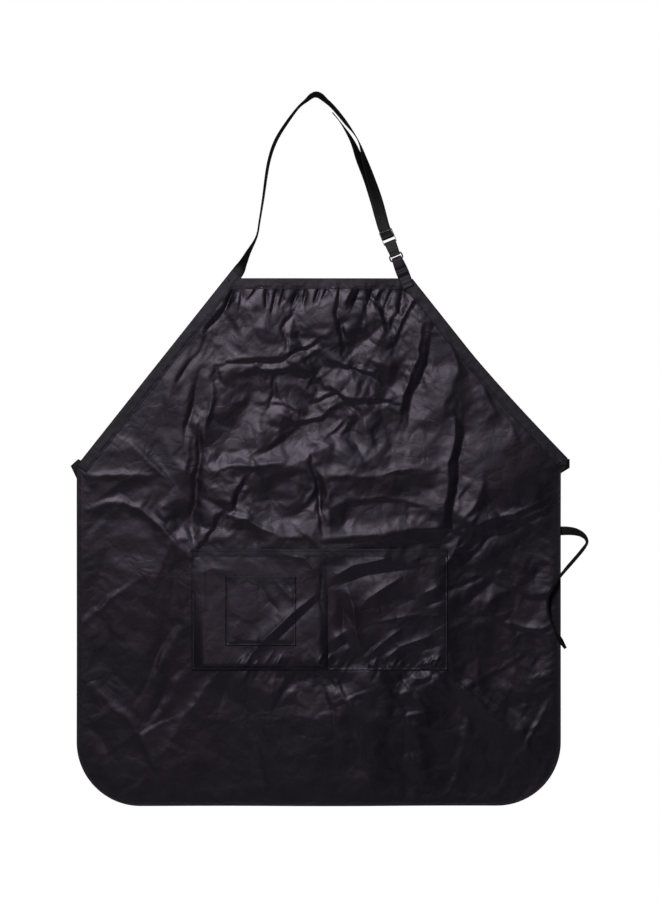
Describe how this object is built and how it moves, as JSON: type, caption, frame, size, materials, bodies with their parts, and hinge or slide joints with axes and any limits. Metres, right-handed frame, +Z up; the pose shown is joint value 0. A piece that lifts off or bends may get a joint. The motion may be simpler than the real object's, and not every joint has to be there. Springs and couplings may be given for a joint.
{
  "type": "artist smock apron",
  "caption": "Full-length black nylon bib apron with divided front pockets, an adjustable neck strap on a ring, and waist ties, hanging by its strap.",
  "frame": {"origin": "underside of the neck strap where a peg carries it", "axes": "+Z up, the front faces -Y, +X to the viewer's right when looking at the front"},
  "size_m": [0.7516, 0.0313, 1.0363],
  "materials": {
    "coated_nylon": "thin black nylon with a soft coated sheen",
    "pocket_nylon": "thin black nylon with a soft coated sheen",
    "hem_nylon": "folded black nylon, stitched",
    "binding_tape": "folded black nylon tape, stitched",
    "strap_webbing": "black ribbed webbing",
    "link_webbing": "charcoal ribbed webbing",
    "tie_tape": "black woven tape",
    "buckle_wire": "dark nickel-plated wire",
    "thread": "black polyester thread"
  },
  "bodies": {
    "neck_strap": {"neck_strap": "strap_webbing"},
    "adjuster": {"adjuster": "buckle_wire"},
    "link": {"link_loop": "link_webbing"},
    "ring": {"ring": "buckle_wire"},
    "apron": {"apron_panel": "coated_nylon", "bib_hem": "hem_nylon", "armhole_binding_left": "binding_tape", "armhole_binding_right": "binding_tape", "edge_hem": "hem_nylon", "pocket_panel": "pocket_nylon", "pocket_hem": "hem_nylon", "small_pocket": "pocket_nylon", "small_pocket_hem": "hem_nylon", "bar_tacks": "thread", "ring_tab": "binding_tape", "strap_end": "strap_webbing", "tie_tab_left": "tie_tape", "tie_tab_right": "tie_tape", "waist_tie_left": "tie_tape", "waist_tie_right": "tie_tape"}
  },
  "joints": [
    {"name": "apron_swing", "type": "hinge", "parent": "neck_strap", "child": "apron", "pos_m": [0.1178, 0, -0.2431], "axis": [0.9966, -0.0084, 0.0814], "range_deg": [-30, 30]},
    {"name": "adjuster_swing", "type": "hinge", "parent": "neck_strap", "child": "adjuster", "pos_m": [0.10414, 0, -0.21012], "axis": [0.9239, 0, 0.3827], "range_deg": [0, 20]},
    {"name": "link_swing", "type": "hinge", "parent": "adjuster", "child": "link", "pos_m": [0.10754, 0, -0.21834], "axis": [0.9239, 0, 0.3827], "range_deg": [-20, 0]},
    {"name": "ring_swing", "type": "hinge", "parent": "link", "child": "ring", "pos_m": [0.11455, 0, -0.23525], "axis": [0.9239, 0, 0.3827], "range_deg": [-21, 0]}
  ],
  "couplings": [
    {"joint": "link_swing", "follows": "adjuster_swing", "ratio": -1},
    {"joint": "ring_swing", "follows": "adjuster_swing", "ratio": -1.0471}
  ]
}
